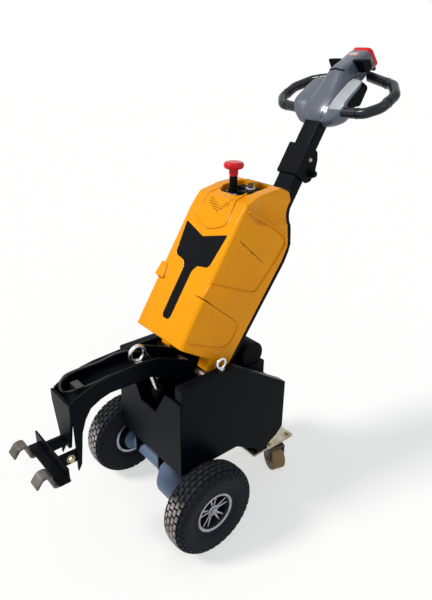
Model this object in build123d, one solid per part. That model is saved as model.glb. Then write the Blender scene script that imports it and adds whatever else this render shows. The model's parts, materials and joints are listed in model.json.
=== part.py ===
from build123d import *
import os
from math import sin, cos, tan, radians, degrees, atan2, hypot

# Walk-behind electric tug, in millimetres. The hitch end is towards -Y and the operator
# stands at +Y. While modelling, Y and Z are measured from the floor point under the drive
# axle. The last step moves everything so that the origin is the middle of the bounding
# box, on the floor.

# Drive wheels, 3.00-4 pneumatic tyres
wheel_radius = 130.0
tyre_width = 80.0
tyre_shoulder = 34.0
rim_width = 62.0
rim_radius = 60.0
rim_seat_radius = 55.0
rim_wall = 5.0
rim_lip = 3.0
spokes = 10
spoke_width = 9.0
spoke_disc = 9.0
spoke_disc_inset = 14.0
hub_radius = 19.0
hub_inner_reach = 36.0
hub_outer_reach = 26.0
wheel_track = 412.0
running_gap = 0.3

# Drive axle
axle_tube_radius = 21.0
axle_flange_radius = 36.0
axle_flange = 8.0
axle_shaft_radius = 12.0
axle_shaft_reach = 30.0
gear_case_radius = 60.0
gear_case_inner = 38.0
gear_case_outer = 138.0
gear_case_skirt = 14.0
gear_neck_radius = 33.0
gear_neck = 22.0
hanger = 8.0
hanger_half = 26.0
hanger_right = 4.0
hanger_left = -104.0

# Frame box between the wheels
frame_width = 294.0
frame_front = -45.0
frame_rear = 338.0
frame_top = 484.0
frame_bottom = 214.0
plate = 6.0
flange = 28.0
frame_peak = 142.0
rear_top = 359.0
rear_bottom = 200.0
lobe_bottom = 150.0
shelf_bottom = 184.0
shelf_step = 152.0
front_plate_top = 441.0
front_notch_low = 360.0
front_notch_half = 62.0
front_notch_floor = 34.0

# Power unit
battery_half = 108.0
battery_top = 316.0
pump_y = 282.0
pump_z = 430.0
pump_radius = 40.0
pump_half = 62.0
pump_foot = 6.0

# Casters under a zinc-plated pan
pan_half_width = 122.0
pan_front = 250.0
pan_rear = 420.0
pan_bottom = 106.0
pan = 6.0
caster_x = 79.5
caster_y = 367.0
caster_plate_length = 105.0
caster_plate_width = 85.0
caster_plate = 4.0
roller_radius = 37.5
roller_width = 42.0
roller_trail = 27.0
roller_side_gap = 1.5
fork_wall = 4.0
fork_race_radius = 31.0
fork_race = 12.0
roller_pin_radius = 6.0
caster_rest_turn = -17.3

# Leaning column and cover: u runs square to the lean, towards the operator, and w runs
# up along it, from the cover's lower front edge
lean = 32.3
lean_foot_y = -9.0
lean_foot_z = 567.0
cover_half = 105.0
cover_top_half = 92.0
cover_taper_from = 350.0
cover_taper_to = 440.0
cover_front_fillet = 16.0
cover_tab_inner = 64.0
side_recess = 3.0
groove_width = 3.5
scoop_radius = 60.0
scoop_depth = 21.0
scoop_start = 60.0
scoop_level = 411.0
scoop_rise = 0.33
corner_pad = 4.0
shield = 2.5
panel_depth = 2.2
panel_below_face = 0.5
panel_gap = 0.3
well_floor_z = 893.0
well_half = 58.0
well_front_y = 232.0
well_back_y = 334.0
well_middle_y = (well_front_y + well_back_y) / 2
back_plate = 8.0
column_width = 60.0
column_depth = 40.0
column_front = 192.0
column_foot = -60.0

# Console in the cover's top
console_tray = 6.0
desk_left = 4.0
desk_right = 48.0
desk_depth = 44.0
desk_height = 12.0
key_switch_radius = 10.0
key_switch = 5.0
stop_x = -18.0
stop_y = 262.0
stop_top_z = 983.0
stop_radius = 27.0
stop_head = 32.0
stop_stem_radius = 10.5
stop_collar_radius = 12.0

# Folding tiller: a collar on the upper tube swings back about a bolt behind the column
pivot_u = 243.0
pivot_w = 582.0
pivot_bolt_radius = 6.0
pivot_lobe = 17.0
pivot_lug_half = 16.0
collar_below_pivot = 30.0
collar_above_pivot = 60.0
collar_wall = 6.0
collar_gap = 1.0
collar_lobe = 12.0
column_end_gap = 3.0
tube_length = 100.0
tube_inset = 2.0
lock_knob_radius = 8.0
lock_knob_reach = 14.0
head_pitch = 42.0
head_start_y = 565.0
head_start_z = 1110.0
head_length = 202.0
head_end = 16.0
loop_pitch = 28.0
loop_drop = 15.0
loop_tube_radius = 14.0
flap_inner = 60.0
flap_outer = 90.0
paddle_inner = 24.0
paddle_outer = 60.0

# Hitch arm
arm_half = 48.0
arm_cheek = 8.0
arm_trough = 30.0
arm_pivot_y = 88.0
arm_pivot_z = 446.0
arm_pivot_radius = 10.0
face_y = -282.0
arm_nose_top = 499.0
face_plate = 8.0
face_top = 495.0
face_bottom = 357.0
ring_radius = 21.5
ring_wire_radius = 5.5
beam_half = 91.0
beam_leg = 40.0
beam_foot = 28.0
beam_wall = 5.0
beam_top = 361.0
beam_back = -324.0
bracket_ear = 10.0
bracket_rear = -268.0
bracket_low = 326.0
bracket_top = 358.0
hook_width = 35.0
hook_spread = 66.5
hook_strap = 6.0

# Cables on the arm
cable_radius = 3.25
grommet_radius = 6.0
grommet_length = 19.0
junction_front = -252.0
junction_rear = -232.0
junction_half = 18.0
junction_z = 503.0
junction_above = 10.0

# Lift cylinder
cylinder_foot_y = 30.0
cylinder_foot_z = 262.0
rod_eye_y = -34.0
rod_eye_z = 470.0
barrel_radius = 17.0
barrel_length = 128.0
rod_radius = 8.0
cylinder_pin_radius = 6.0
open_eye_gap = 1.4
rod_eye_radius = 13.0
rod_eye_half = 10.0
rod_start = 62.0
rod_stroke_below = 22.0

parts = {}


def side_plate_solid(points, x_low, x_high, radii=0.0):
    """Outline in Y and Z, pushed along X from x_low to x_high."""
    outline = FilletPolyline(*points, radius=radii, close=True) if radii else Polyline(*points, close=True)
    face = make_face(Plane.YZ * outline)
    return Pos(x_low, 0, 0) * extrude(face, x_high - x_low, dir=(1, 0, 0))


def leaned(u, w):
    """Y and Z of a point given along and square to the lean."""
    s, c = sin(radians(lean)), cos(radians(lean))
    return lean_foot_y + u * c + w * s, lean_foot_z - u * s + w * c


def leaned_solid(points, x_low, x_high, radii=0.0):
    return side_plate_solid([leaned(u, w) for u, w in points], x_low, x_high, radii)


def x_cylinder(radius, x_low, x_high, y, z):
    """Round bar along X."""
    bar = Cylinder(radius, x_high - x_low, rotation=(0, 90, 0))
    return Pos((x_low + x_high) / 2, y, z) * bar


def turned(points, radii=0.0):
    """Outline in X and radius, turned about the X axis."""
    outline = FilletPolyline(*points, radius=radii, close=True) if radii else Polyline(*points, close=True)
    return revolve(make_face(Plane.XZ * outline), Axis.X, 360)


def box(x_low, x_high, y_low, y_high, z_low, z_high):
    size = (x_high - x_low, y_high - y_low, z_high - z_low)
    return Pos((x_low + x_high) / 2, (y_low + y_high) / 2, (z_low + z_high) / 2) * Box(*size)


# Drive wheels

def tyre():
    w, r, seat = tyre_width / 2, wheel_radius, rim_seat_radius + 0.2
    bead = rim_width / 2 - rim_lip - 0.2
    half = [(bead, seat), (bead, rim_radius + 2), (w, rim_radius + 26), (tyre_shoulder + 2, r - 7),
            (tyre_shoulder - 8, r)]
    points = half + [(-x, z) for x, z in reversed(half)]
    radii = [1, 3, 22, 6, 20, 20, 6, 22, 3, 1]
    return turned(points, radii)


def rim():
    w = rim_width / 2
    inner = rim_seat_radius - rim_wall
    barrel = turned([(-w, inner), (-w, rim_radius), (-w + rim_lip, rim_radius), (-w + rim_lip, rim_seat_radius),
                     (w - rim_lip, rim_seat_radius), (w - rim_lip, rim_radius), (w, rim_radius), (w, inner)])
    disc_out = w - spoke_disc_inset
    disc_in = disc_out - spoke_disc
    disc = x_cylinder(inner + 1, disc_in, disc_out, 0, 0)
    window_low, window_high = hub_radius + 5, inner - 5
    step = 360 / spokes
    low_half = window_low * tan(radians(step / 2)) - spoke_width / 2
    high_half = window_high * tan(radians(step / 2)) - spoke_width / 2
    window = side_plate_solid([(-low_half, window_low), (low_half, window_low),
                               (high_half, window_high), (-high_half, window_high)],
                              disc_in - 1, disc_out + 1, 2.4)
    for i in range(spokes):
        disc -= Rot(step * i, 0, 0) * window
    hub = x_cylinder(hub_radius, -hub_inner_reach, hub_outer_reach, 0, 0)
    nut = extrude(Plane.YZ.offset(hub_outer_reach) * RegularPolygon(11, 6), 9)
    shaft = x_cylinder(axle_shaft_radius, -hub_inner_reach - axle_shaft_reach, -hub_inner_reach, 0, 0)
    return barrel + disc + hub + nut + shaft


wheel_x = wheel_track / 2
for side, name in ((1, "right"), (-1, "left")):
    place = Pos(side * wheel_x, 0, wheel_radius) * Rot(0, 0, 0 if side > 0 else 180)
    parts["tyre_" + name] = place * tyre()
    parts["rim_" + name] = place * rim()

# Drive axle: tube, end flanges and gear case

tube_end = wheel_x - hub_inner_reach - running_gap
axle = x_cylinder(axle_tube_radius, -tube_end, tube_end, 0, wheel_radius)
for side in (1, -1):
    out = side * (tube_end - 6)
    low, high = sorted((out, out - side * axle_flange))
    axle += x_cylinder(axle_flange_radius, low, high, 0, wheel_radius)
for side in (1, -1):
    low, high = sorted((side * (tube_end + 1), side * (tube_end - axle_shaft_reach - 2)))
    axle -= x_cylinder(axle_shaft_radius + running_gap, low, high, 0, wheel_radius)
parts["axle_tube"] = axle

case = x_cylinder(gear_case_radius, gear_case_inner, gear_case_outer, 0, wheel_radius)
case = fillet(case.edges().filter_by(GeomType.CIRCLE), gear_case_skirt)
case += x_cylinder(gear_neck_radius, gear_case_inner - gear_neck, gear_case_inner + 10, 0, wheel_radius)
case -= x_cylinder(axle_tube_radius, -tube_end, tube_end, 0, wheel_radius)
parts["gear_case"] = case

# Frame: two pressed side plates, front plate, floor pan, rear plate

half = frame_width / 2
side_outline = [(frame_front + plate, frame_bottom), (frame_front + plate, frame_top), (frame_peak, frame_top),
                (frame_rear, rear_top), (frame_rear, rear_bottom), (frame_rear - 22, rear_bottom - 23),
                (frame_rear - 78, lobe_bottom), (frame_peak + 10, frame_bottom)]
pocket = [(frame_front + 2 * plate, frame_bottom + plate), (frame_front + 2 * plate, frame_top - plate),
          (frame_peak - 2, frame_top - plate), (frame_rear - plate, rear_top - plate - 3),
          (frame_rear - plate, rear_bottom + plate), (frame_rear - 30, rear_bottom - 14),
          (frame_rear - 82, lobe_bottom + 2 * plate), (frame_peak + 14, frame_bottom + plate)]
for side, name in ((1, "right"), (-1, "left")):
    low, high = sorted((side * half, side * (half - flange)))
    solid = side_plate_solid(side_outline, low, high, 5.0)
    low, high = sorted((side * (half - plate), side * (half - flange - 1)))
    solid -= side_plate_solid(pocket, low, high, 3.0)
    parts["side_plate_" + name] = solid

notch = Polyline((-half, frame_bottom), (-half, front_plate_top), (-front_notch_half - 20, front_plate_top),
                 (-front_notch_floor, front_notch_low), (front_notch_floor, front_notch_low),
                 (front_notch_half + 20, front_plate_top), (half, front_plate_top), (half, frame_bottom), close=True)
front = extrude(Plane.XZ * make_face(notch), plate, dir=(0, 1, 0))
parts["front_plate"] = Pos(0, frame_front, 0) * front

floor = side_plate_solid([(frame_front + plate, frame_bottom), (shelf_step - plate, frame_bottom),
                          (shelf_step - plate, shelf_bottom), (frame_rear - plate, shelf_bottom),
                          (frame_rear - plate, shelf_bottom + plate), (shelf_step, shelf_bottom + plate),
                          (shelf_step, frame_bottom + plate), (frame_front + plate, frame_bottom + plate)],
                         -half + flange, half - flange)
parts["floor_pan"] = floor
parts["rear_plate"] = box(-half + flange, half - flange, frame_rear - plate, frame_rear, shelf_bottom, rear_top - 12)

# Axle hangers between the floor pan and the axle tube

hangers = box(hanger_right, hanger_right + hanger, -hanger_half, hanger_half, wheel_radius, frame_bottom)
hangers += box(hanger_left - hanger, hanger_left, -hanger_half, hanger_half, wheel_radius, frame_bottom)
parts["axle_hangers"] = hangers - x_cylinder(axle_tube_radius, -tube_end, tube_end, 0, wheel_radius)

# Caster pan, beam and casters

parts["caster_pan"] = box(-pan_half_width, pan_half_width, pan_front, pan_rear, pan_bottom, pan_bottom + pan)
parts["caster_beam"] = box(-half + flange, half - flange, pan_front + 12, frame_rear - 30,
                           pan_bottom + pan, shelf_bottom)

plate_low = pan_bottom - caster_plate
race_top = plate_low - running_gap
race_low = race_top - fork_race
caster_plates = []
for side, name in ((1, "right"), (-1, "left")):
    at = Pos(side * caster_x, caster_y, 0)
    mount = box(-caster_plate_width / 2, caster_plate_width / 2, -caster_plate_length / 2, caster_plate_length / 2,
                plate_low, pan_bottom)
    caster_plates.append(at * mount)
    turn = at * Rot(0, 0, caster_rest_turn)
    cheek_in = roller_width / 2 + roller_side_gap
    fork = Pos(0, 0, (race_top + race_low) / 2) * Cylinder(fork_race_radius, fork_race)
    crown = box(-20, roller_trail + 16, -cheek_in - fork_wall, cheek_in + fork_wall, race_low - 5, race_low)
    fork += crown
    for y0 in (-cheek_in - fork_wall, cheek_in):
        outline = Polyline((-20, race_low), (roller_trail + 16, race_low), (roller_trail + 15, roller_radius),
                           (roller_trail + 6, roller_radius - 14), (roller_trail - 8, roller_radius - 14), close=True)
        cheek = extrude(Plane.XZ * make_face(outline), fork_wall, dir=(0, 1, 0))
        fork += Pos(0, y0, 0) * cheek
    pin = Cylinder(roller_pin_radius, 2 * (cheek_in + fork_wall + 3), rotation=(90, 0, 0))
    fork += Pos(roller_trail, 0, roller_radius) * pin
    parts["caster_fork_" + name] = turn * fork
    roller = Cylinder(roller_radius, roller_width, rotation=(90, 0, 0))
    roller = fillet(roller.edges(), 4)
    roller -= Cylinder(roller_pin_radius + running_gap, roller_width + 2, rotation=(90, 0, 0))
    parts["caster_roller_" + name] = turn * Pos(roller_trail, 0, roller_radius) * roller

parts["caster_plates"] = caster_plates[0] + caster_plates[1]

# Column, cover and its back plate

column_rear = column_front + column_depth
pivot_y, pivot_z = leaned(pivot_u, pivot_w)
column_end = pivot_u - column_front + collar_gap - column_end_gap
column_side = leaned_solid([(column_front, column_foot), (column_front, pivot_w + column_end),
                            (column_rear, pivot_w + column_end), (column_rear, column_foot)],
                           -column_width / 2, column_width / 2)
column_round = x_cylinder(column_end, -column_width, column_width, pivot_y, pivot_z)
below_pivot = leaned_solid([(column_front - 1, column_foot - 1), (column_front - 1, pivot_w),
                            (column_rear + 1, pivot_w), (column_rear + 1, column_foot - 1)],
                           -column_width, column_width)
column_tube = (column_side & column_round) + (column_side & below_pivot)
lug = leaned_solid([(column_rear - 2, pivot_w - pivot_lobe), (column_rear - 2, pivot_w + pivot_lobe),
                    (pivot_u + pivot_lobe, pivot_w + pivot_lobe), (pivot_u + pivot_lobe, pivot_w - pivot_lobe)],
                   -pivot_lug_half, pivot_lug_half, [1, 1, pivot_lobe - 1, pivot_lobe - 1])
pivot_hole = x_cylinder(pivot_bolt_radius + running_gap, -column_width, column_width, pivot_y, pivot_z)
parts["column"] = column_tube + lug - pivot_hole
parts["column_beam"] = leaned_solid([(column_front - 6, column_foot - 24), (column_front - 6, column_foot),
                                     (column_rear + 6, column_foot), (column_rear + 6, column_foot - 24)],
                                    -half + plate, half - plate)

cover_side = [(0, 0), (0, 352), (6, 398), (46, 442), (100, 484), (134, 488), (152, 474), (160, 452), (172, 420),
              (188, 394), (204, 366), (208, 320), (188, 0), (186, -34), (118, -34), (112, 0)]
lean_up = Plane(origin=(0, lean_foot_y, lean_foot_z), x_dir=(1, 0, 0),
                z_dir=(0, sin(radians(lean)), cos(radians(lean))))
cover_reach = 300.0
waist_table = ((-40, cover_half), (cover_taper_from, cover_half), (cover_taper_to, cover_top_half),
               (520, cover_top_half - 4))


def waist_at(forward):
    """Block with the cover's outline as seen from the front, its face moved forward by a little."""
    return loft([lean_up.offset(w) * Pos(0, cover_reach / 2 - forward)
                 * RectangleRounded(2 * wide, cover_reach, cover_front_fillet)
                 for w, wide in waist_table], ruled=True)


waist = waist_at(0)
cover = leaned_solid(cover_side, -cover_half, cover_half, 3.0) & waist


def on_front(points, radii, front, back, inset=0.0):
    """Outline in X and w on the cover's front, pushed from front to back along u."""
    plane = Plane(origin=(0, *leaned(front, 0)), x_dir=(1, 0, 0),
                  z_dir=(0, cos(radians(lean)), -sin(radians(lean))))
    face = make_face(FilletPolyline(*[(x, -w) for x, w in points], radius=radii, close=True))
    if inset:
        face = offset(face, -inset)
    return extrude(plane * face, back - front)


def both_sides(solid):
    return solid + mirror(solid, Plane.YZ)


# Recessed side fields leave a raised band round each front corner, with a groove under it

recess_from = cover_half - side_recess
upper_field = leaned_solid([(-2, 181), (158, 204), (168, 226), (200, 385), (-2, 385)], recess_from, cover_half + 10,
                           [1, 14, 14, 1, 1])
lower_field = leaned_solid([(-2, 18), (138, 36), (161, 62), (158, 113), (-2, 138)], recess_from, cover_half + 10,
                           [1, 20, 20, 8, 1])
slots = (((30, 309), (144, 288)), ((-2, 139.5), (156, 114.5)))
fields = upper_field + lower_field
for (u0, w0), (u1, w1) in slots:
    fields += leaned_solid([(u0, w0), (u1, w1), (u1, w1 + groove_width), (u0, w0 + groove_width)],
                           recess_from - side_recess, cover_half + 10)
cover -= both_sides(fields)

# Hand scoop below the top on each side: a channel with a round front end

scoop_angle = degrees(atan2(scoop_rise, 1)) - lean
scoop_y, scoop_z = leaned(scoop_start, scoop_level)
scoop_at = Pos(cover_half - scoop_depth + scoop_radius, scoop_y, scoop_z) * Rot(scoop_angle, 0, 0)
scoop = Sphere(scoop_radius) + Cylinder(scoop_radius, cover_reach, rotation=(-90, 0, 0),
                                        align=(Align.CENTER, Align.CENTER, Align.MIN))
scoops = both_sides(scoop_at * scoop)
cover -= scoops

# Pads on the front corners, raised shield above the panel, and the panel's recess

pad = on_front([(68, 143), (84, 180), (cover_half - 6, 184), (cover_half - 6, 143)], [3, 12, 3, 3], -corner_pad, 8)
cover += both_sides(fillet(pad.faces().sort_by(Axis.Y)[0].edges(), 2.5))
shield_front = leaned_solid([(u - shield, w) for u, w in cover_side], -cover_half, cover_half, 3.0) & waist_at(shield)
shield_outline = on_front([(0, 307), (64, 329), (56, 386), (48, 432), (-48, 432), (-56, 386), (-64, 329)],
                          [6, 8, 30, 8, 8, 30, 8], -10, 60)
cover += shield_front & shield_outline
panel_half = [(84, 311), (71, 223), (62, 215), (29, 209), (18, 192), (17, 60), (10, 51)]
panel_points = [(0, 286)] + panel_half + [(-x, w) for x, w in reversed(panel_half)]
panel_radii = [3, 3, 6, 4, 8, 10, 3, 3, 3, 3, 10, 8, 4, 6, 3]
cover -= on_front(panel_points, panel_radii, -5, panel_depth)
parts["face_panel"] = on_front(panel_points, panel_radii, panel_below_face, panel_depth, panel_gap)

# Well in the top, with its console

well_outline = FilletPolyline((-well_half, well_front_y + 26), (-34, well_front_y), (34, well_front_y),
                              (well_half, well_front_y + 26), (well_half - 4, well_back_y),
                              (-well_half + 4, well_back_y), radius=[14, 24, 24, 14, 14, 14], close=True)
cover -= Pos(0, 0, well_floor_z) * extrude(make_face(well_outline), 90)
cover -= leaned_solid([(100, -60), (100, 0), (200, 0), (200, -60)], -cover_tab_inner, cover_tab_inner)
back_side = [(180, 0), (208, 320), (204, 366), (188, 394), (172, 420), (160, 452), (152, 474), (134, 488),
             (142, 496), (160, 482), (170, 455), (182, 424), (198, 399), (213, 370), (218, 318), (197, 0)]
back = leaned_solid(back_side, -cover_half, cover_half, 0.8)
column_slot = leaned_solid([(column_front, column_foot - 10), (column_front, 600),
                            (column_rear + 30, 600), (column_rear + 30, column_foot - 10)],
                           -column_width / 2, column_width / 2, 5.0)
parts["cover"] = cover - column_slot
parts["back_plate"] = (back & waist) - cover - column_slot - scoops

# Console in the well: tray, key switch, and the emergency stop

tray_face = offset(make_face(well_outline), -panel_gap)
desk_x = (desk_left + desk_right) / 2
desk = Pos(desk_x, well_middle_y, console_tray) * Box(desk_right - desk_left, desk_depth, desk_height,
                                                      align=(Align.CENTER, Align.CENTER, Align.MIN))
tray = extrude(tray_face, console_tray) + fillet(desk.faces().sort_by(Axis.Z)[-1].edges(), 4)
parts["console_tray"] = Pos(0, 0, well_floor_z) * tray
desk_top = well_floor_z + console_tray + desk_height
switch = Pos(desk_x, well_middle_y, desk_top) * Cylinder(key_switch_radius, key_switch,
                                                        align=(Align.CENTER, Align.CENTER, Align.MIN))
key = Pos(desk_x, well_middle_y, desk_top + key_switch) * Box(3, 18, 16, align=(Align.CENTER, Align.CENTER, Align.MIN))
parts["key_switch"] = switch + key
stop_foot = well_floor_z + console_tray
stop_at = Pos(stop_x, stop_y, stop_foot)
collar_height = stop_top_z - stop_foot - stop_head
parts["stop_collar"] = stop_at * Cylinder(stop_collar_radius, collar_height,
                                          align=(Align.CENTER, Align.CENTER, Align.MIN))
knob_outline = FilletPolyline((0, 0), (stop_stem_radius, 0), (stop_stem_radius, stop_head - 15),
                              (stop_radius, stop_head - 13), (stop_radius, stop_head - 3), (0, stop_head),
                              radius=[0.01, 0.5, 3, 5, 5, 0.01], close=True)
parts["stop_button"] = stop_at * Pos(0, 0, collar_height) * revolve(Plane.XZ * make_face(knob_outline), Axis.Z, 360)

# Lifting eyes on the side plates

eye = Pos(0, 100, frame_top + 3) * Cylinder(9, 6)
eye += Pos(0, 100, frame_top + 6 + 13.5) * Torus(13.5, 4, rotation=(0, 90, 0))
eye_x = half - flange / 2
parts["lifting_eyes"] = Pos(eye_x, 0, 0) * eye + Pos(-eye_x, 0, 0) * eye

# Power unit behind the column, battery inside the frame

parts["pump_motor"] = x_cylinder(pump_radius, -pump_half, pump_half, pump_y, pump_z)
block = box(-pump_half - pump_foot, pump_half + pump_foot, pump_y - 20, pump_y + 44, battery_top,
            pump_z - pump_radius * 0.75)
parts["pump_block"] = block - parts["pump_motor"]
parts["battery"] = box(-battery_half, battery_half, shelf_step + 4, frame_rear - 16, shelf_bottom + plate,
                       battery_top)

# Hitch arm

upper = [(-16, 522), (-32, 529), (-60, 534), (-97, 536), (-170, 532), (-205, 527), (-241, 518), (-272, 505)]
lower = [(-282, 300), (-272, 318), (-266, 372), (-262, 406), (-250, 441), (-234, 466), (-206, 480), (-180, 487),
         (-60, 484)]
root = [(arm_pivot_y - 26, arm_pivot_z - 22), (arm_pivot_y + 18, arm_pivot_z - 14),
        (arm_pivot_y + 18, arm_pivot_z + 14), (arm_pivot_y - 40, arm_pivot_z + 48)]
nose = [(face_y, arm_nose_top)]
cheek_points = upper + nose + lower + root
cheeks = side_plate_solid(cheek_points, arm_half - arm_cheek, arm_half)
cheeks += side_plate_solid(cheek_points, -arm_half, -arm_half + arm_cheek)
parts["arm_cheeks"] = cheeks - x_cylinder(arm_pivot_radius + running_gap, -60, 60, arm_pivot_y, arm_pivot_z)
web_top = [(y, z - arm_trough) for y, z in upper + nose]
web_low = [(y, z - arm_cheek) for y, z in web_top]
parts["arm_web"] = side_plate_solid(web_top + web_low[::-1], -arm_half + arm_cheek, arm_half - arm_cheek)
face_outline = Polyline((-50, face_top), (50, face_top), (50, face_top - 30), (22, face_bottom),
                        (-22, face_bottom), (-50, face_top - 30), close=True)
nose_plate = extrude(Plane.XZ * make_face(face_outline), face_plate, dir=(0, 1, 0))
parts["face_plate"] = Pos(0, face_y - face_plate, 0) * nose_plate
parts["arm_ring"] = (Pos(0, -71, 505.5 + 4) * Cylinder(12, 8)
                     + Pos(0, -71, 505.5 + 8 + ring_radius) * Torus(ring_radius, ring_wire_radius, rotation=(0, 90, 0)))
parts["arm_pin"] = x_cylinder(arm_pivot_radius, -half + plate, half - plate, arm_pivot_y, arm_pivot_z)

beam = side_plate_solid([(beam_back, beam_top), (beam_back - beam_wall, beam_top),
                         (beam_back - beam_wall, beam_top - beam_leg + beam_wall),
                         (beam_back - beam_foot, beam_top - beam_leg + beam_wall),
                         (beam_back - beam_foot, beam_top - beam_leg), (beam_back, beam_top - beam_leg)],
                        -beam_half, beam_half)
parts["hook_beam"] = beam
ear = box(arm_half - arm_cheek - bracket_ear, arm_half - arm_cheek, beam_back, bracket_rear,
          bracket_low, bracket_top)
parts["beam_bracket"] = both_sides(ear)
strap_z = beam_top - beam_leg
hook_path = FilletPolyline((beam_back + 2, strap_z - 3), (beam_back - 37, strap_z - 3),
                           (beam_back - 42, strap_z + 36), (beam_back - 62, strap_z + 34),
                           (beam_back - 76, strap_z + 16), radius=[8, 9, 12])
strap_face = make_face(Plane.YZ * offset(hook_path, hook_strap / 2, side=Side.BOTH))
hook = Pos(-hook_width / 2, 0, 0) * extrude(strap_face, hook_width, dir=(1, 0, 0))
parts["hooks"] = Pos(hook_spread, 0, 0) * hook + Pos(-hook_spread, 0, 0) * hook

# Cables in the arm's trough: a loop from the root over the nose to a junction box, and a run back

loop_points = [(-22, -30, 505), (-22, -52, 526), (-23, -85, 540), (-20, -130, 545), (-12, -172, 543), (-4, -212, 549),
               (0, -244, 552), (2, -271.9, 551), (3, -286, 536.9), (5, -286, 517.1), (6, -271.9, junction_z),
               (6, junction_front, junction_z)]
run_points = [(9, junction_rear, junction_z), (9, -205, junction_z), (10, -160, 509), (14, -112, 511.5),
              (21, -74, 512), (24, -49, 510.5), (24, -35, 505)]
cables = {"arm_cable_loop": loop_points, "arm_cable_run": run_points}
for name, points in cables.items():
    radii = []
    for before, at, after in zip(points, points[1:], points[2:]):
        come, go = Vector(at) - Vector(before), Vector(after) - Vector(at)
        radii.append(0.45 * min(come.length, go.length) / tan(radians(come.get_angle(go) / 2)))
    print(name, "radii", [round(r) for r in radii])
    route = FilletPolyline(*points, radius=radii)
    parts[name] = sweep(Plane(origin=route @ 0, z_dir=route % 0) * Circle(cable_radius), path=route)
clips = side_plate_solid([(junction_front, 460), (junction_front, junction_z + junction_above),
                          (junction_rear, junction_z + junction_above), (junction_rear, 460)],
                         -junction_half, junction_half)
for start, toward in ((loop_points[0], loop_points[1]), (run_points[-1], run_points[-2])):
    out = Vector(toward) - Vector(start)
    grommet = Cylinder(grommet_radius, grommet_length, align=(Align.CENTER, Align.CENTER, Align.MAX))
    clips += Plane(origin=start, z_dir=out) * grommet
under_web = side_plate_solid(web_low + [(face_y, 400), (-16, 400)], -arm_half, arm_half)
parts["cable_clips"] = clips - parts["arm_web"] - under_web

# Lift cylinder

run_y, run_z = rod_eye_y - cylinder_foot_y, rod_eye_z - cylinder_foot_z
cylinder_length = hypot(run_y, run_z)
cylinder_turn = degrees(atan2(-run_y, run_z))
at_foot = Pos(0, cylinder_foot_y, cylinder_foot_z) * Rot(cylinder_turn, 0, 0)
barrel = Pos(0, 0, 20 + barrel_length / 2) * Cylinder(barrel_radius, barrel_length)
barrel += x_cylinder(12, -12, 12, 0, 0) + Pos(0, 0, 12) * Box(20, 20, 20)
barrel -= x_cylinder(cylinder_pin_radius + running_gap, -20, 20, 0, 0)
barrel -= Pos(0, 0, rod_start - rod_stroke_below) * Cylinder(rod_radius + running_gap, 2 * barrel_length,
                                                            align=(Align.CENTER, Align.CENTER, Align.MIN))
parts["lift_barrel"] = at_foot * barrel
rod = Pos(0, 0, rod_start) * Cylinder(rod_radius, cylinder_length - rod_start - rod_eye_radius + 1,
                                      align=(Align.CENTER, Align.CENTER, Align.MIN))
rod += Pos(0, 0, cylinder_length) * x_cylinder(rod_eye_radius, -rod_eye_half, rod_eye_half, 0, 0)
rod -= Pos(0, 0, cylinder_length) * x_cylinder(cylinder_pin_radius + open_eye_gap, -20, 20, 0, 0)
parts["lift_rod"] = at_foot * rod
foot_bracket = None
for side in (1, -1):
    low, high = sorted((side * 13, side * 19))
    ear = side_plate_solid([(cylinder_foot_y - 18, frame_bottom + plate),
                            (cylinder_foot_y - 14, cylinder_foot_z + 14),
                            (cylinder_foot_y + 14, cylinder_foot_z + 14),
                            (cylinder_foot_y + 18, frame_bottom + plate)], low, high)
    foot_bracket = ear if foot_bracket is None else foot_bracket + ear
foot_bracket += x_cylinder(cylinder_pin_radius, -22, 22, cylinder_foot_y, cylinder_foot_z)
parts["cylinder_bracket"] = foot_bracket
rod_lugs = x_cylinder(cylinder_pin_radius, -arm_half + arm_cheek, arm_half - arm_cheek, rod_eye_y, rod_eye_z)
parts["rod_pin"] = rod_lugs

# Tiller: collar, upper tube, head, loops, belly button

collar_foot = pivot_w - collar_below_pivot
collar_top = pivot_w + collar_above_pivot
collar_front = column_front - collar_gap
cheek_outline = [(collar_front - collar_wall, collar_foot), (collar_front - collar_wall, collar_top),
                 (pivot_u - 15, collar_top), (pivot_u, collar_top - 18), (pivot_u + collar_lobe, pivot_w + 10),
                 (pivot_u + collar_lobe - 1, pivot_w - 20), (pivot_u - 5, collar_foot - 3)]
collar_radii = [3, 3, 8, 12, 16, 14, 8]
inside = column_width / 2 + collar_gap
collar = leaned_solid(cheek_outline, -inside - collar_wall, inside + collar_wall, collar_radii)
collar -= leaned_solid([(collar_front, collar_foot - 20), (collar_front, collar_top - collar_wall),
                        (pivot_u + 60, collar_top - collar_wall), (pivot_u + 60, collar_foot - 20)], -inside, inside)
parts["tiller_collar"] = collar
knob_y, knob_z = leaned((column_front + column_rear) / 2 - 2, collar_top - 26)
parts["lock_knob"] = x_cylinder(lock_knob_radius, -inside - collar_wall - lock_knob_reach, -inside - collar_wall,
                                knob_y, knob_z)
head_s, head_c = sin(radians(head_pitch)), cos(radians(head_pitch))


def headed(s, n):
    """Y and Z of a point along and square to the head's top face."""
    return head_start_y + s * head_c - n * head_s, head_start_z + s * head_s + n * head_c


tube_top = collar_top + tube_length
tube_half = column_width / 2 - 1
tube = leaned_solid([(column_front + tube_inset, collar_top), (column_front + tube_inset, tube_top),
                     (column_rear - 1, tube_top), (column_rear - 1, collar_top)], -tube_half, tube_half)
tube = fillet(tube.edges().filter_by(lambda edge: edge.length > tube_length - 1), 5)
parts["tiller_tube"] = tube


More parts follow.
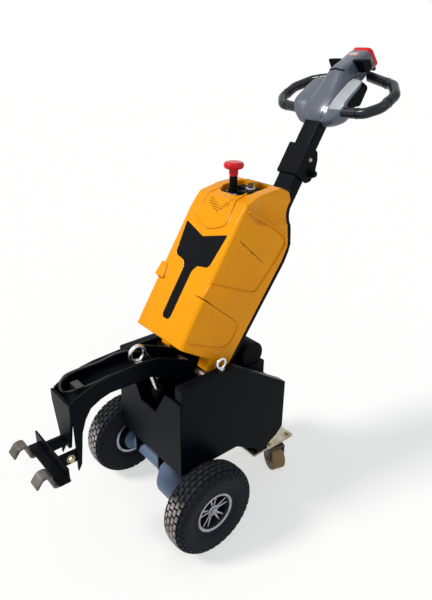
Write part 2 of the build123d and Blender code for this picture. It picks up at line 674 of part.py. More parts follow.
def lofted(stations):
    """Body along the head: station, half widths of its top and base, and heights of its base and top."""
    faces = []
    for s, top_half, base_half, low, high in stations:
        plane = Plane(origin=(0, *headed(s, 0)), x_dir=(1, 0, 0), z_dir=(0, head_c, head_s))
        corner = min(top_half, high - low) * 0.3
        outline = FilletPolyline((-base_half, -low), (base_half, -low), (top_half, -high), (-top_half, -high),
                                 radius=corner, close=True)
        faces.append(plane * make_face(outline))
    return loft(faces, ruled=True)


hump = lofted(((-53, 40, 46, -52, -4), (-26, 43, 50, -58, 7), (30, 40, 52, -60, 14), (99, 28, 46, -60, 31),
               (116, 28, 44, -60, 30), (160, 32, 40, -62, 16), (head_length, 35, 36, -64, 3)))
wings = lofted(((-50, 54, 58, -50, -17), (-20, 80, 84, -56, -5), (4, 88, 91, -56, 9), (60, 80, 86, -54, 2),
                (104, 68, 76, -50, -6), (122, 40, 50, -48, -10)))
housing = hump + wings


def along_head(points, x_low, x_high, radii=0.0):
    """Outline in s and n of the head's own frame, pushed along X."""
    return side_plate_solid([headed(s, n) for s, n in points], x_low, x_high, radii)


rocker_slot = along_head([(98, 26), (98, 40), (100.5, 40), (100.5, 26)], -28, 28)
housing -= rocker_slot
flap = along_head([(12, 10), (88, 0), (96, -25), (44, -42), (6, -12)], flap_inner, flap_outer, [4, 4, 8, 12, 4])
side_flaps = both_sides(flap) - housing
parts["side_flaps"] = side_flaps
paddle = along_head([(142, 26), (169, 3), (166, -26), (136, -16)], paddle_inner, paddle_outer, [4, 5, 9, 8])
parts["thumb_paddles"] = both_sides(paddle) - housing
housing -= parts["tiller_tube"]
parts["tiller_head"] = housing
y, z = headed(head_length, -32)
end_plane = Plane(origin=(0, y, z), x_dir=(1, 0, 0), z_dir=(0, head_c, head_s))
parts["belly_button"] = extrude(end_plane * RectangleRounded(68, 64, 14), head_end)

loop_s, loop_c = sin(radians(loop_pitch)), cos(radians(loop_pitch))
loop_table = ((84, -2), (148, 4), (180, 38), (180, 98), (144, 142), (34, 180))
for side, name in ((1, "right"), (-1, "left")):
    points = [(side * x, head_start_y + s * loop_c, head_start_z - loop_drop + s * loop_s) for x, s in loop_table]
    path = FilletPolyline(*points, radius=[34, 34, 28, 26])
    start = Plane(origin=path @ 0, z_dir=path % 0)
    tube = sweep(start * Circle(loop_tube_radius), path=path)
    parts["hand_loop_" + name] = tube - housing - side_flaps
bolt_reach = inside + collar_wall + 6
parts["pivot_bolt"] = x_cylinder(pivot_bolt_radius, -bolt_reach, bolt_reach, pivot_y, pivot_z)
parts["tiller_collar"] -= parts["pivot_bolt"]

# Origin at the middle of the bounding box, on the floor

boxes = [solid.bounding_box() for solid in parts.values()]
front_y = min(each.min.Y for each in boxes)
back_y = max(each.max.Y for each in boxes)
middle_y = (front_y + back_y) / 2

os.makedirs("parts", exist_ok=True)
for name, solid in parts.items():
    export_step(Pos(0, -middle_y, 0) * solid, "parts/" + name + ".step")
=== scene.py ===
# %% [markdown]
# # A walk-behind electric tug
#
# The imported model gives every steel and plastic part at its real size. This notebook gives those
# parts their finish, and adds what is too fine for the model: tyre tread, bolts, cables and trim.
# All lengths are in metres, and +Y points at the operator.

# %% Load the frame
import json
import math
from math import radians

import bmesh
import bpy
from mathutils import Matrix, Vector
from mathutils.bvhtree import BVHTree


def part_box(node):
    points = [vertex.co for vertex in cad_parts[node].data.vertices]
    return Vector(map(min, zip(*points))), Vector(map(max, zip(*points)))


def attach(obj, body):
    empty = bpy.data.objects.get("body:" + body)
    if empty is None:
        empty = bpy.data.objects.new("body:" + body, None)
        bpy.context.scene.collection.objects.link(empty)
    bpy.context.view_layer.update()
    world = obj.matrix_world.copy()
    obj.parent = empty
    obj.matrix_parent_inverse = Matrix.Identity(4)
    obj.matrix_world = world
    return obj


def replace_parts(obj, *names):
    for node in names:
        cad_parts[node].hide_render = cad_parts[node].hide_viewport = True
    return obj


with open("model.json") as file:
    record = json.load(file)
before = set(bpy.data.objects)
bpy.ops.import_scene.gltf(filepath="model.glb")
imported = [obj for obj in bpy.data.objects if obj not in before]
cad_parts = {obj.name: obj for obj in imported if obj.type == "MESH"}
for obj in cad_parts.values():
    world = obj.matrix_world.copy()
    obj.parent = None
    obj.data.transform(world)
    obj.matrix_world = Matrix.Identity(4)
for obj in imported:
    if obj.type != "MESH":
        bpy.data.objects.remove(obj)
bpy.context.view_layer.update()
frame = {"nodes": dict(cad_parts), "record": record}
body_of_node = {node: body for body, nodes in frame["record"]["behaviour"]["bodies"].items() for node in nodes}
slot_of_node = {row["node"]: row["material_slot"] for row in frame["record"]["subparts"]}

# %% [markdown]
# ## Camera
#
# The photograph was taken from the front right, a little above the tiller, with a short lens.
# The camera's angles and place were solved from pairs of points that mirror each other across the
# machine, and from the two tyres.

# %% Camera
CAMERA_AZIMUTH = radians(50.08)
CAMERA_ELEVATION = radians(24.86)
CAMERA_ROLL = radians(0.64)
CAMERA_FROM_AXLE = Vector((1.081, -0.713, 1.265))
PHOTO_LONG_SIDE = 600
FOCAL_PIXELS = 557.3
SENSOR = 36.0

wheel_low, wheel_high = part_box("tyre_right")
AXLE_Y = (wheel_low.y + wheel_high.y) / 2
WHEEL_RADIUS = (wheel_high.y - wheel_low.y) / 2
WHEEL_X = (wheel_low.x + wheel_high.x) / 2

back = Vector((math.sin(CAMERA_AZIMUTH) * math.cos(CAMERA_ELEVATION),
               -math.cos(CAMERA_AZIMUTH) * math.cos(CAMERA_ELEVATION),
               math.sin(CAMERA_ELEVATION)))
level = Vector((math.cos(CAMERA_AZIMUTH), math.sin(CAMERA_AZIMUTH), 0))
upright = back.cross(level)
right = level * math.cos(CAMERA_ROLL) + upright * math.sin(CAMERA_ROLL)
up = back.cross(right)
camera = bpy.data.objects.new("camera", bpy.data.cameras.new("camera"))
bpy.context.scene.collection.objects.link(camera)
camera.matrix_world = Matrix.Translation(CAMERA_FROM_AXLE + Vector((0, AXLE_Y, 0))) @ Matrix(
    (right, up, back)).transposed().to_4x4()
camera.data.sensor_width = SENSOR
camera.data.lens = FOCAL_PIXELS / PHOTO_LONG_SIDE * SENSOR
camera.data.clip_end = 60
bpy.context.scene.camera = camera
print("lens", round(camera.data.lens, 2), "mm, axle at y", round(AXLE_Y, 4))

# %% [markdown]
# ## Places on the machine
#
# The drawing measures from the floor point under the axle, in millimetres. The cover and the head
# both lean, so a place on them is given along and square to their own faces.

# %% Places
LEAN = radians(32.3)
COVER_FOOT = (-9, 567)
HEAD_PITCH = radians(42)
HEAD_ROOT = (565, 1110)
ACROSS = Vector((1, 0, 0))
UPWARD = Vector((0, 0, 1))
COVER_OUT = Vector((0, -math.cos(LEAN), math.sin(LEAN)))
HEAD_OUT = Vector((0, -math.sin(HEAD_PITCH), math.cos(HEAD_PITCH)))


def spot(x, y, z):
    """Millimetres from the floor under the axle, as a place in the frame."""
    return Vector((x, y, z)) / 1000 + Vector((0, AXLE_Y, 0))


def on_cover(x, u, w):
    """A place on the leaning cover: u into it from its front, w up along it."""
    return spot(x, COVER_FOOT[0] + u * math.cos(LEAN) + w * math.sin(LEAN),
                COVER_FOOT[1] - u * math.sin(LEAN) + w * math.cos(LEAN))


def on_slope(x, s, n, pitch, root):
    """A place on a rising plane: s up along it from its root, n above it."""
    return spot(x, root[0] + s * math.cos(pitch) - n * math.sin(pitch),
                root[1] + s * math.sin(pitch) + n * math.cos(pitch))


def on_head(x, s, n):
    """A place on the tiller head: s along it, n above its mean top face."""
    return on_slope(x, s, n, HEAD_PITCH, HEAD_ROOT)

# %% [markdown]
# ## Shader maths
#
# A finish is mostly arithmetic on noise: how much dust, how worn an edge. Wrapping a socket in a
# small class lets that arithmetic be written as plain Python, and each sign adds one Math node.

# %% Wire and Finish
class Wire:
    """An output socket that takes part in ordinary arithmetic."""

    def __init__(self, finish, socket):
        self.finish = finish
        self.socket = socket

    def maths(self, operation, first, second):
        return self.finish.node("ShaderNodeMath", {"operation": operation}, {0: first, 1: second})

    def __add__(self, other):
        return self.maths("ADD", self, other)

    def __sub__(self, other):
        return self.maths("SUBTRACT", self, other)

    def __mul__(self, other):
        return self.maths("MULTIPLY", self, other)

    def __rsub__(self, other):
        return self.maths("SUBTRACT", other, self)

    def __abs__(self):
        return self.maths("ABSOLUTE", self, 0.0)

    __radd__ = __add__
    __rmul__ = __mul__


class Finish:
    """One material: a Principled shader and the nodes that feed it."""

    def __init__(self, name, **fixed):
        self.material = bpy.data.materials.new(name)
        self.material.use_nodes = True
        self.tree = self.material.node_tree
        self.shader = self.tree.nodes["Principled BSDF"]
        self.set(**fixed)

    def set(self, **sockets):
        for name, value in sockets.items():
            self.feed(self.shader.inputs[name.replace("_", " ").title().replace("Ior", "IOR")], value)

    def feed(self, socket, value):
        if isinstance(value, Wire):
            self.tree.links.new(value.socket, socket)
        elif isinstance(value, (tuple, list)) and len(value) == 3 and len(socket.default_value) == 4:
            socket.default_value = (*value, 1.0)
        else:
            socket.default_value = value

    def node(self, kind, settings=None, sockets=None, output=0):
        made = self.tree.nodes.new(kind)
        for name, value in (settings or {}).items():
            setattr(made, name, value)
        for name, value in (sockets or {}).items():
            self.feed(made.inputs[name], value)
        return Wire(self, made.outputs[output])

    def place(self):
        return self.node("ShaderNodeTexCoord", output="Object")

    def noise(self, scale, detail=3.0, stretch=(1, 1, 1)):
        """Cloudy values from 0 to 1. Scale counts patches in a metre."""
        where = self.node("ShaderNodeMapping", sockets={"Vector": self.place(), "Scale": stretch})
        return self.node("ShaderNodeTexNoise", sockets={"Vector": where, "Scale": scale, "Detail": detail})

    def ramp(self, value, low, high):
        """0 below low, 1 above high."""
        return self.node("ShaderNodeMapRange", {"interpolation_type": "SMOOTHSTEP"},
                         {"Value": value, "From Min": low, "From Max": high})

    def blend(self, share, first, second):
        """A colour between two colours."""
        return self.node("ShaderNodeMix", {"data_type": "RGBA"}, {0: share, 6: first, 7: second}, output=2)

    def axis(self, vector, index):
        return self.node("ShaderNodeSeparateXYZ", sockets={0: vector}, output=index)

    def facing(self, index):
        """How far the surface's normal points along X, Y or Z."""
        return self.axis(self.node("ShaderNodeTexCoord", output="Normal"), index)

    def bump(self, height, distance, strength=1.0):
        self.set(normal=self.node("ShaderNodeBump", sockets={"Height": height, "Distance": distance,
                                                             "Strength": strength}))


finishes = {}

# %% [markdown]
# ## Powder coat
#
# The frame, the arm and the column are black powder coat: satin, with the fine ripple that painters
# call orange peel. Dust settles on what faces up, and handling leaves faint lighter scuffs. Noise on
# Object coordinates gives all three, because flat steel has no UV map worth following.

# %% Powder coat
DUST = (0.17, 0.165, 0.155)


def powder_coat(name, colour, roughness, dust, gloss=0.045):
    coat = Finish(name, metallic=0.0, specular_ior_level=gloss)
    scuffs = coat.ramp(coat.noise(60, 8, (0.3, 1, 1)), 0.62, 0.8)
    dusty = coat.ramp(coat.facing(2), 0.35, 1.0) * coat.ramp(coat.noise(12, 5), 0.3, 0.75)
    greyed = coat.blend(scuffs * 0.018 + dusty * dust, colour, DUST)
    coat.set(base_color=greyed, roughness=roughness + scuffs * 0.14 + dusty * 0.12)
    coat.bump(coat.noise(520, 2) + scuffs * 0.2, 0.00035, 0.35)
    finishes[name] = coat.material


powder_coat("black_paint", (0.0016, 0.0024, 0.0046), 0.34, 0.03)
powder_coat("motor_black", (0.0022, 0.0027, 0.0042), 0.5, 0.05)
powder_coat("axle_paint", (0.085, 0.130, 0.215), 0.40, 0.12, 0.3)

# %% [markdown]
# ## Moulded plastics
#
# The cover is a glossy amber shell. Its colour is even, so what sells it is the clear reflection,
# broken by a very slight waviness and a little fine dust. The other plastics and rubbers are the
# same recipe in their own colours, with a finer or coarser grain.

# %% Moulded plastics
PALE_DUST = (0.62, 0.58, 0.5)


def moulded(name, colour, roughness, grain_scale, grain_depth, coat_weight, dust=0.05, gloss=0.2):
    shell = Finish(name, ior=1.49, specular_ior_level=gloss, coat_weight=coat_weight, coat_roughness=0.12)
    rubbed = shell.ramp(shell.noise(85, 5), 0.6, 0.75)
    dusty = shell.ramp(shell.facing(2), 0.5, 1.0) * shell.ramp(shell.noise(20, 5), 0.35, 0.8)
    darker = tuple(channel * 0.9 for channel in colour)
    shade = shell.blend(shell.ramp(shell.noise(7, 3), 0.3, 0.7), darker, colour)
    shell.set(base_color=shell.blend(dusty * dust + rubbed * 0.02, shade, PALE_DUST))
    shell.set(roughness=roughness + rubbed * 0.1 + dusty * 0.15)
    shell.bump(shell.noise(grain_scale, 2) + shell.noise(14, 1) * 0.6, grain_depth, 0.3)
    finishes[name] = shell.material


moulded("yellow_cover", (0.83, 0.318, 0.0010), 0.30, 900, 0.0002, 0.12, 0.006, 0.06)
moulded("head_grey", (0.078, 0.092, 0.128), 0.30, 1500, 0.0002, 0.3, 0.03, 0.35)
moulded("groove_shade", (0.17, 0.068, 0.002), 0.5, 900, 0.0002, 0.0, 0.0, 0.05)
moulded("pale_trim", (0.40, 0.42, 0.45), 0.35, 1200, 0.0002, 0.1, 0.04, 0.3)
moulded("grip_rubber", (0.0070, 0.0088, 0.014), 0.27, 1300, 0.0002, 0.12, 0.01, 0.22)
moulded("signal_red", (0.60, 0.007, 0.009), 0.26, 700, 0.0002, 0.12, 0.01, 0.15)
moulded("cable_rubber", (0.010, 0.010, 0.012), 0.34, 1100, 0.0002, 0.1, 0.04, 0.5)
moulded("roller_brown", (0.27, 0.165, 0.06), 0.5, 600, 0.0006, 0.15, 0.3)

# %% [markdown]
# ## Bright and bare metal
#
# Four metals show: the bright steel of the lifting eyes, the pale zinc of the caster plates, the
# dull mill steel of the hooks and forks, and the yellow zinc of the bolts. They share a grain of
# noise, stretched along one or two axes where the metal is brushed, and differ in colour and stain.

# %% Metals
def metal(name, colour, stain_colour, roughness, stain, grain):
    bare = Finish(name, metallic=1.0)
    brushed = bare.noise(240, 3, grain)
    stained = bare.ramp(bare.noise(30, 6), 0.5 - stain * 0.2, 0.75)
    bare.set(base_color=bare.blend(stained * stain, colour, stain_colour))
    bare.set(roughness=roughness + brushed * 0.16 + stained * stain * 0.3)
    bare.bump(brushed + stained * 0.3, 0.0002, 0.4)
    finishes[name] = bare.material


metal("polished_steel", (0.66, 0.69, 0.73), (0.34, 0.34, 0.34), 0.16, 0.3, (1, 1, 1))
metal("zinc_plate", (0.50, 0.47, 0.40), (0.34, 0.25, 0.13), 0.32, 0.6, (0.2, 1, 1))
metal("hook_steel", (0.15, 0.14, 0.135), (0.06, 0.05, 0.04), 0.42, 0.8, (1, 0.15, 0.15))
metal("bolt_steel", (0.52, 0.47, 0.32), (0.20, 0.16, 0.10), 0.34, 0.5, (1, 1, 1))

# %% [markdown]
# The rim is cast, painted black, and then faced on a lathe, so the bright metal lies only where the
# cutter reached: on the faces that look straight outwards. The material asks how far the surface
# faces along the axle.

# %% Rim
def machined_rim():
    rim = Finish("rim_alloy")
    outwards = rim.ramp(abs(rim.facing(0)), 0.35, 0.62)
    grime = rim.ramp(rim.noise(45, 5), 0.48, 0.72)
    silver = rim.blend(grime * 0.5, (0.34, 0.365, 0.42), (0.12, 0.12, 0.12))
    rim.set(base_color=rim.blend(outwards, (0.010, 0.010, 0.011), silver))
    rim.set(metallic=outwards * 0.9, roughness=0.5 - outwards * 0.22 + grime * 0.15)
    rim.bump(rim.noise(900, 2, (1, 0.02, 0.02)), 0.0001, 0.4)
    finishes["rim_alloy"] = rim.material


machined_rim()

# %% [markdown]
# Tyre rubber is matt and a little grey with use. The tread carries a little pale dust all round, and
# far more pale low down at the front, which is painted sunlight: the sun lights that part, while the
# frame shades the top. So the pale goes by distance from the axle and by height as well as by noise.

# %% Tyre rubber
TREAD_TOP = WHEEL_RADIUS - 0.0005


def tyre_rubber():
    rubber = Finish("tyre", ior=1.45, specular_ior_level=0.12)
    where = rubber.place()
    along = rubber.axis(where, 1) - AXLE_Y
    above = rubber.axis(where, 2) - WHEEL_RADIUS
    radius_squared = along * along + above * above
    on_tread = rubber.ramp(radius_squared, (TREAD_TOP - 0.0030) ** 2, (TREAD_TOP - 0.0012) ** 2)
    patches = rubber.ramp(rubber.noise(26, 5), 0.38, 0.66)
    # painted sunlight: the lower front of the tyre, where the sun falls, is made paler than the rest
    sunlit_low = 1 - rubber.ramp(above, 0.060, 0.090)
    sunlit_front = 1 - rubber.ramp(along, -0.070, -0.035)
    # real dust on the tread, raised by painted sunlight on the lower front
    dust = on_tread * (patches * 0.45 + 0.4) * (sunlit_low * sunlit_front * 0.95 + 0.04)
    rubber.set(base_color=rubber.blend(dust, (0.0085, 0.0098, 0.014), (0.46, 0.42, 0.40)))
    rubber.set(roughness=0.6 + dust * 0.25)
    rubber.bump(rubber.noise(700, 4) + rubber.noise(120, 3) * 0.6, 0.0006, 0.5)
    finishes["tyre"] = rubber.material


tyre_rubber()

# %% [markdown]
# ## Steel and plastic pieces from the frame
#
# A pressed or moulded part never has a knife edge, and it is the thin highlight on its rounded edge
# that makes it look real. Each node is copied, its loose triangles are welded and its flat faces
# joined, and a Bevel modifier rounds what is sharp. The original stays, hidden.

# %% Dressed pieces
WELD = 0.00001
SHARP = radians(34)


def show(mesh, name, body, slot, finish=None):
    """Puts a finished mesh in the scene, on a body and with its finish."""
    piece = bpy.data.objects.new(name, mesh)
    bpy.context.scene.collection.objects.link(piece)
    if mesh.materials:
        mesh.materials.clear()
    mesh.materials.append(finishes[finish or slot])
    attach(piece, body)
    return piece


def meshed(shape, name):
    """Turns a bmesh into a mesh of that name and frees it."""
    mesh = bpy.data.meshes.new(name)
    shape.to_mesh(mesh)
    shape.free()
    return mesh


def shaded(shape, name, sharp=SHARP):
    """Turns a bmesh into a mesh, smooth except at its sharp edges."""
    for face in shape.faces:
        face.smooth = True
    for corner in shape.edges:
        corner.smooth = corner.calc_face_angle(0.0) < sharp
    return meshed(shape, name)


def settle(shape, name, body, slot, finish=None, sharp=SHARP, merge=WELD):
    """Welds a bmesh, turns its faces outwards, shades it and shows it."""
    bmesh.ops.remove_doubles(shape, verts=shape.verts, dist=merge)
    bmesh.ops.recalc_face_normals(shape, faces=shape.faces)
    return show(shaded(shape, name, sharp), name, body, slot, finish)


def welded(node):
    """A node's mesh as a bmesh, with its loose triangles joined at their corners."""
    shape = bmesh.new()
    shape.from_mesh(frame["nodes"][node].data)
    bmesh.ops.remove_doubles(shape, verts=shape.verts, dist=WELD)
    return shape


def dressed(node, edge, finish=None):
    """A copy of a node with rounded edges, in the finish of the node's slot."""
    shape = welded(node)
    bmesh.ops.dissolve_limit(shape, angle_limit=radians(0.6), verts=shape.verts, edges=shape.edges)
    name = node + "_dressed"
    piece = show(shaded(shape, name), name, body_of_node[node], slot_of_node[node], finish)
    rounding = piece.modifiers.new("edge", "BEVEL")
    rounding.width = edge
    rounding.segments = 2
    rounding.limit_method = "ANGLE"
    rounding.angle_limit = SHARP
    rounding.use_clamp_overlap = True
    rounding.harden_normals = True
    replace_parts(piece, node)


# node: width of its rounded edges
EDGES = {"side_plate_right": 0.0008, "side_plate_left": 0.0008, "front_plate": 0.0008, "rear_plate": 0.0008,
         "column": 0.0012, "face_plate": 0.0008, "arm_cheeks": 0.0008, "hook_beam": 0.0007, "hooks": 0.0008,
         "tiller_collar": 0.0012, "tiller_tube": 0.0012, "belly_button": 0.003, "caster_pan": 0.0006,
         "caster_plates": 0.0006, "caster_beam": 0.0007, "column_beam": 0.0008, "battery": 0.002,
         "pump_block": 0.0012, "pump_motor": 0.0015, "gear_case": 0.0015, "axle_tube": 0.001,
         "axle_hangers": 0.0008, "floor_pan": 0.0006, "caster_fork_right": 0.0005, "caster_fork_left": 0.0005,
         "arm_web": 0.0006, "beam_bracket": 0.0008, "back_plate": 0.0008, "cylinder_bracket": 0.0006,
         "side_flaps": 0.0015, "thumb_paddles": 0.0015, "console_tray": 0.0008, "face_panel": 0.0004,
         "key_switch": 0.0005, "cable_clips": 0.0006}
OTHER_FINISH = {"caster_fork_right": "hook_steel", "caster_fork_left": "hook_steel", "key_switch": "hook_steel"}
for node, edge in EDGES.items():
    dressed(node, edge, OTHER_FINISH.get(node))
CORD_NODES = ("arm_cable_loop", "arm_cable_run")
REBUILT_NODES = ("tyre_right", "tyre_left", "rim_right", "rim_left", "cover", "tiller_head", "stop_button",
                 "stop_collar")
kept = [node for node in frame["nodes"] if node not in EDGES and node not in CORD_NODES + REBUILT_NODES]
for node in kept:
    solid = frame["nodes"][node]
    solid.data.materials.clear()
    solid.data.materials.append(finishes[slot_of_node[node]])
print(len(EDGES), "nodes dressed,", len(kept), "left as they are")

# %% [markdown]
# ## Cables on the arm
#
# Two limp leads lie in the arm's trough. One comes out of a grommet at the root, arches over the
# nose and turns back into the junction box, and the other runs straight back. A NURBS curve
# through the drawing's own route points gives each the even bend that a real lead has.

# %% Cables
CABLE_DIAMETER = 0.0065
ROUTES = {
    "arm_cable_loop": ((-22, -30, 505), (-22, -52, 526), (-23, -85, 540), (-20, -130, 545), (-12, -172, 543),
                       (-4, -212, 549), (0, -244, 552), (2, -271.9, 551), (3, -286, 536.9), (5, -286, 517.1),
                       (6, -271.9, 503), (6, -252, 503)),
    "arm_cable_run": ((9, -232, 503), (9, -205, 503), (10, -160, 509), (14, -112, 511.5), (21, -74, 512),
                      (24, -49, 510.5), (24, -35, 505)),
}


def lead(node, route):
    """A cable as one smooth curve along its route, in place of its CAD tube."""
    line = bpy.data.curves.new(node + "_lead", "CURVE")
    line.dimensions = "3D"
    line.bevel_depth = CABLE_DIAMETER / 2
    line.bevel_resolution = 5
    line.resolution_u = 12
    line.use_fill_caps = True
    spline = line.splines.new("NURBS")
    spline.points.add(len(route) - 1)
    for point, place in zip(spline.points, route):
        point.co = (*spot(*place), 1.0)
    spline.order_u = 3
    spline.use_endpoint_u = True
    line.materials.append(finishes["cable_rubber"])
    piece = bpy.data.objects.new(node + "_lead", line)
    bpy.context.scene.collection.objects.link(piece)
    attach(piece, "hitch_arm")
    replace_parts(piece, node)


for node, route in ROUTES.items():
    lead(node, route)

# %% [markdown]
# ## Tyres
#
# A 3.00-4 pneumatic tyre is a round carcass with raised rings on its sidewall, and square lugs on
# the crown that are staggered like bricks. The carcass is one profile spun about the axle. A lug is
# a tapered block, and spin with duplicates sets it around the wheel once for each row. Points are
# distances along the axle and from it.

# %% Tyres
CARCASS = ((0.0278, 0.0553), (0.0296, 0.0562), (0.0312, 0.0578), (0.0316, 0.0605), (0.0318, 0.0640),
           (0.0330, 0.0676), (0.0346, 0.0694), (0.0358, 0.0702), (0.0360, 0.0716), (0.0354, 0.0726),
           (0.0368, 0.0780), (0.0384, 0.0860), (0.0389, 0.0930), (0.0388, 0.0985), (0.0392, 0.0996),
           (0.0391, 0.1016), (0.0385, 0.1028), (0.0376, 0.1080), (0.0352, 0.1136), (0.0312, 0.1184),
           (0.0250, 0.1221), (0.0140, 0.1246))
CARCASS_STEPS = 112
LUGS_AROUND = 36
LUG_LENGTH = 0.0178
LUG_HEIGHT = 0.0056
LUG_TAPER = 0.88
# along the axle, shift in pitches, width, radius of the top, lean in degrees
LUG_ROWS = ((0.0070, 0.5, 0.0112, 0.12962, 0), (0.0203, 0.0, 0.0112, 0.1279, 13), (0.0318, 0.5, 0.0108, 0.1222, 38),
            (0.0373, 0.0, 0.0128, 0.1124, 66))
AXLE = Vector((0, AXLE_Y, WHEEL_RADIUS))


def profile_wire(shape, points, closed=True):
    """A chain of vertices and edges in the plane of X and Z, above the axle."""
    chain = [shape.verts.new(AXLE + Vector((x, 0, r))) for x, r in points]
    pairs = list(zip(chain, chain[1:])) + ([(chain[-1], chain[0])] if closed else [])
    return chain + [shape.edges.new(pair) for pair in pairs]


def around_axle(shape, parts, steps):
    bmesh.ops.spin(shape, geom=parts, cent=AXLE, axis=ACROSS, angle=math.tau, steps=steps, use_merge=True)


def cuboid(size):
    """A box about the origin, as a bmesh."""
    shape = bmesh.new()
    bmesh.ops.create_cube(shape, size=1.0)
    bmesh.ops.scale(shape, verts=shape.verts, vec=Vector(size))
    return shape


def bevel(shape, edges, width, segments=2):
    bmesh.ops.bevel(shape, geom=edges, offset=width, offset_type="OFFSET", segments=segments, profile=0.5,
                    affect="EDGES", material=-1)


def top_edges(shape):
    return [edge for edge in shape.edges if all(end.co.z > 0 for end in edge.verts)]


def lug(wide, place, lean):
    """One tread block as its own bmesh, leaning about the Y axis."""
    block = cuboid((wide, LUG_LENGTH, LUG_HEIGHT))
    outer = [vertex for vertex in block.verts if vertex.co.z > 0]
    bmesh.ops.scale(block, verts=outer, vec=Vector((LUG_TAPER, LUG_TAPER, 1)))
    bevel(block, top_edges(block), 0.0009, 1)
    bmesh.ops.rotate(block, verts=block.verts, cent=Vector(), matrix=Matrix.Rotation(lean, 3, "Y"))
    bmesh.ops.translate(block, verts=block.verts, vec=AXLE + Vector(place))
    return block


def ring_of(shape, block, turn, count=LUGS_AROUND):
    """Adds a block to the shape at even steps around the axle, starting at a turn."""
    bmesh.ops.rotate(block, verts=block.verts, cent=AXLE, matrix=Matrix.Rotation(turn, 3, "X"))
    bmesh.ops.spin(block, geom=block.verts[:] + block.edges[:] + block.faces[:], cent=AXLE, axis=ACROSS,
                   angle=math.tau * (1 - 1 / count), steps=count - 1, use_duplicate=True)
    copies = meshed(block, "copies")
    shape.from_mesh(copies)
    bpy.data.meshes.remove(copies)


def tyre(side, x):
    shape = bmesh.new()
    mirrored = tuple((-across, radius) for across, radius in reversed(CARCASS))
    around_axle(shape, profile_wire(shape, CARCASS + mirrored), CARCASS_STEPS)
    pitch = math.tau / LUGS_AROUND
    for across, shift, wide, top, lean in LUG_ROWS:
        for sign in (1, -1):
            turn = radians(lean) * sign
            middle = Vector((sign * across, 0, top)) - Vector((math.sin(turn), 0, math.cos(turn))) * LUG_HEIGHT / 2
            ring_of(shape, lug(wide, middle, turn), pitch * (shift if sign > 0 else 0.5 - shift))
    bmesh.ops.translate(shape, verts=shape.verts, vec=Vector((x, 0, 0)))
    piece = settle(shape, "tyre_" + side + "_treaded", "wheel_" + side, "tyre", sharp=radians(30), merge=0.000001)
    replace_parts(piece, "tyre_" + side)
    return piece


for side, x in (("right", WHEEL_X), ("left", -WHEEL_X)):
    print("tyre", side, len(tyre(side, x).data.polygons), "faces")

# %% [markdown]
# ## Rims
#
# The cast rim has five pairs of slim spokes between a small hub and a broad outer ring, with large
# dark windows. The ring and hub are profiles spun about the axle, and a spoke is a tapered bar that
# spin sets around the wheel. A drum behind the spokes keeps the windows dark.

# %% Rims
RIM_RING = ((-0.031, 0.0502), (-0.031, 0.060), (-0.028, 0.060), (-0.028, 0.0552), (0.028, 0.0552), (0.0295, 0.0578),
            (0.0304, 0.0580), (0.031, 0.0572), (0.031, 0.0518), (0.0296, 0.0500), (0.022, 0.0482), (0.012, 0.0480))
RIM_HUB = ((-0.066, 0.0002), (-0.066, 0.012), (-0.036, 0.012), (-0.036, 0.019), (0.016, 0.019), (0.0215, 0.0165),
           (0.0225, 0.0140), (0.0215, 0.0118), (0.0225, 0.0105), (0.0250, 0.0096), (0.0250, 0.0002))
RIM_DRUM = ((-0.016, 0.0190), (-0.016, 0.0475), (-0.008, 0.0475), (-0.006, 0.0440), (-0.006, 0.0190))
RIM_STEPS = 72
SPOKE_PAIRS = 5
SPOKE_SPREAD = radians(11)


def spoke():
    """A bar from the hub to the ring, narrower and further out at the ring."""
    bar = cuboid((0.008, 0.0064, 0.0345))
    outer = [vertex for vertex in bar.verts if vertex.co.z > 0]
    bmesh.ops.scale(bar, verts=outer, vec=Vector((1, 0.78, 1)))
    bmesh.ops.translate(bar, verts=outer, vec=Vector((0.0035, 0, 0)))
    bevel(bar, bar.edges[:], 0.0012)
    bmesh.ops.translate(bar, verts=bar.verts, vec=AXLE + Vector((0.0165, 0, 0.0325)))
    return bar


def facing_out(shape, x):
    """Moves a shape made about the axle to a wheel, mirrored for the left one."""
    if x < 0:
        bmesh.ops.scale(shape, verts=shape.verts, vec=Vector((-1, 1, 1)))
    bmesh.ops.translate(shape, verts=shape.verts, vec=Vector((x, 0, 0)))


def rim(side, x):
    shape = bmesh.new()
    for profile in (RIM_RING, RIM_HUB):
        around_axle(shape, profile_wire(shape, profile, profile is RIM_RING), RIM_STEPS)
    for sign in (1, -1):
        ring_of(shape, spoke(), sign * SPOKE_SPREAD, SPOKE_PAIRS)
    facing_out(shape, x)
    piece = settle(shape, "rim_" + side + "_faced", "wheel_" + side, "rim_alloy", sharp=radians(28))
    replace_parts(piece, "rim_" + side)
    drum = bmesh.new()
    around_axle(drum, profile_wire(drum, RIM_DRUM), RIM_STEPS)
    facing_out(drum, x)
    settle(drum, "drum_" + side, "wheel_" + side, "rim_alloy", "motor_black")
    return piece


for side, x in (("right", WHEEL_X), ("left", -WHEEL_X)):
    print("rim", side, len(rim(side, x).data.polygons), "faces")

# %% [markdown]
# ## Nuts, bolts and beads
#
# The same few fasteners come back all over the machine, so one function makes a hexagon head on its
# washer and turns it to face any way. A bead is a thin round line through given places, for seams,
# gaskets and wire, made as a NURBS curve and then turned into a mesh.

# %% Bolts and beads
FINE_WELD = 0.0000001


